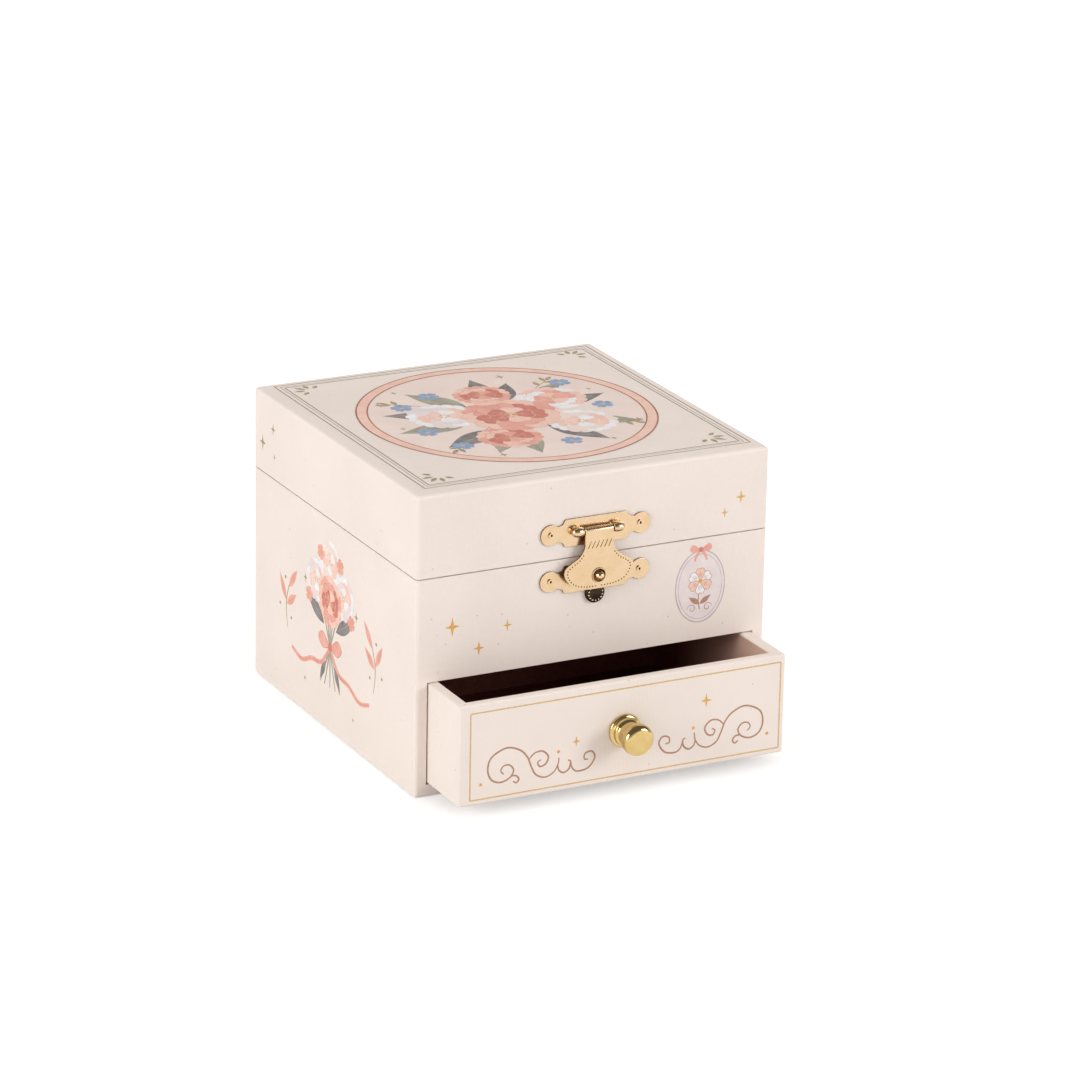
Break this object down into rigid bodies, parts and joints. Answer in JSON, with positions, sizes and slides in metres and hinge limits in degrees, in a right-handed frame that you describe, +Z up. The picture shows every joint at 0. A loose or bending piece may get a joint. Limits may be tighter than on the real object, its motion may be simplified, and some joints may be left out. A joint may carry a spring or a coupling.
{
  "type": "musical jewellery box",
  "caption": "Square paper-covered jewellery box with a hinged mirrored lid, brass hasp, front drawer, and a spring-driven musical movement that turns a dancer in the tray.",
  "frame": {"origin": "middle of the base board's underside, on the surface that the box stands on", "axes": "+X right as seen from the front, -Y front with the hasp and drawer, +Z up"},
  "size_m": [0.112, 0.1611, 0.09],
  "materials": {
    "board": "thin fibre board under paper",
    "printed_paper": "matte printed cream paper with a fine linen grain",
    "flock": "dusty rose flocked lining",
    "mirror_glass": "silvered glass",
    "polished_brass": "polished, pale gold",
    "brass": "plain turned brass",
    "steel": "plain steel",
    "cast_bed": "cast zinc alloy",
    "fan_plastic": "thin sheet",
    "doll_plastic": "painted, soft sheen",
    "tulle": "layered net"
  },
  "bodies": {
    "box": {"base_board": "board", "left_side": "board", "right_side": "board", "back_panel": "board", "front_panel": "board", "tray_floor": "board", "tray_lining": "flock", "movement_partition": "board", "box_wrap": "printed_paper", "left_hinge_box_leaf": "polished_brass", "right_hinge_box_leaf": "polished_brass", "left_hinge_pin": "polished_brass", "right_hinge_pin": "polished_brass", "hinge_nails_box": "polished_brass", "hasp_bottom_plate": "polished_brass", "hasp_stud": "polished_brass", "hasp_nails_box": "polished_brass", "movement_bed": "cast_bed", "movement_screws": "steel", "comb": "steel", "comb_screws": "steel", "governor_bracket": "brass"},
    "lid": {"lid_top_board": "board", "lid_front_rail": "board", "lid_back_rail": "board", "lid_left_rail": "board", "lid_right_rail": "board", "lid_wrap": "printed_paper", "lid_lining": "flock", "mirror": "mirror_glass", "left_hinge_lid_leaf": "polished_brass", "right_hinge_lid_leaf": "polished_brass", "hinge_nails_lid": "polished_brass", "hasp_top_plate": "polished_brass", "hasp_pin": "polished_brass", "hasp_nails_lid": "polished_brass"},
    "hasp": {"hasp_flap": "polished_brass"},
    "drawer": {"drawer_front": "board", "drawer_left_side": "board", "drawer_right_side": "board", "drawer_back": "board", "drawer_bottom": "board", "drawer_lining": "flock", "drawer_knob": "polished_brass", "knob_screw": "steel"},
    "key": {"winding_arbor": "steel", "winding_key": "polished_brass"},
    "barrel": {"mainspring_barrel": "brass", "mainspring": "steel"},
    "cylinder": {"cylinder": "brass", "cylinder_pinion": "brass", "cylinder_gear": "brass", "spindle": "steel", "turntable": "doll_plastic", "dancer_figure": "doll_plastic", "dancer_tutu": "tulle"},
    "governor": {"governor_wheel": "brass"},
    "fan": {"governor_worm": "steel", "governor_fan": "fan_plastic"},
    "stop": {"stop_wire": "steel"}
  },
  "joints": [
    {"name": "lid_hinge", "type": "hinge", "parent": "box", "child": "lid", "pos_m": [0, 0.0575, 0.06538], "axis": [-1, 0, 0], "range_deg": [0, 100]},
    {"name": "hasp_swing", "type": "hinge", "parent": "lid", "child": "hasp", "pos_m": [0, -0.05775, 0.0733], "axis": [-1, 0, 0], "range_deg": [0, 120]},
    {"name": "drawer_slide", "type": "slide", "parent": "box", "child": "drawer", "axis": [0, -1, 0], "range_m": [-0.02025, 0.03]},
    {"name": "key_turn", "type": "hinge", "parent": "box", "child": "key", "pos_m": [0, 0.06, 0.017], "axis": [0, 1, 0], "continuous": true},
    {"name": "barrel_turn", "type": "hinge", "parent": "box", "child": "barrel", "pos_m": [0, 0.042, 0.017], "axis": [0, 1, 0], "continuous": true},
    {"name": "cylinder_turn", "type": "hinge", "parent": "box", "child": "cylinder", "pos_m": [0, 0.031, 0.017], "axis": [0, 0, 1], "continuous": true},
    {"name": "governor_turn", "type": "hinge", "parent": "box", "child": "governor", "pos_m": [-0.0105, 0.031, 0.018], "axis": [0, 0, 1], "continuous": true},
    {"name": "fan_turn", "type": "hinge", "parent": "box", "child": "fan", "pos_m": [-0.016, 0.03, 0.018], "axis": [0, 1, 0], "continuous": true},
    {"name": "stop_slide", "type": "slide", "parent": "box", "child": "stop", "axis": [0, 0, 1], "range_m": [0, 0.0024]}
  ],
  "couplings": [
    {"joint": "cylinder_turn", "follows": "barrel_turn", "ratio": 1.875},
    {"joint": "governor_turn", "follows": "barrel_turn", "ratio": -7.9688},
    {"joint": "fan_turn", "follows": "barrel_turn", "ratio": -159.38},
    {"joint": "stop_slide", "follows": "lid_hinge", "m_per_rad": 0.001375}
  ]
}
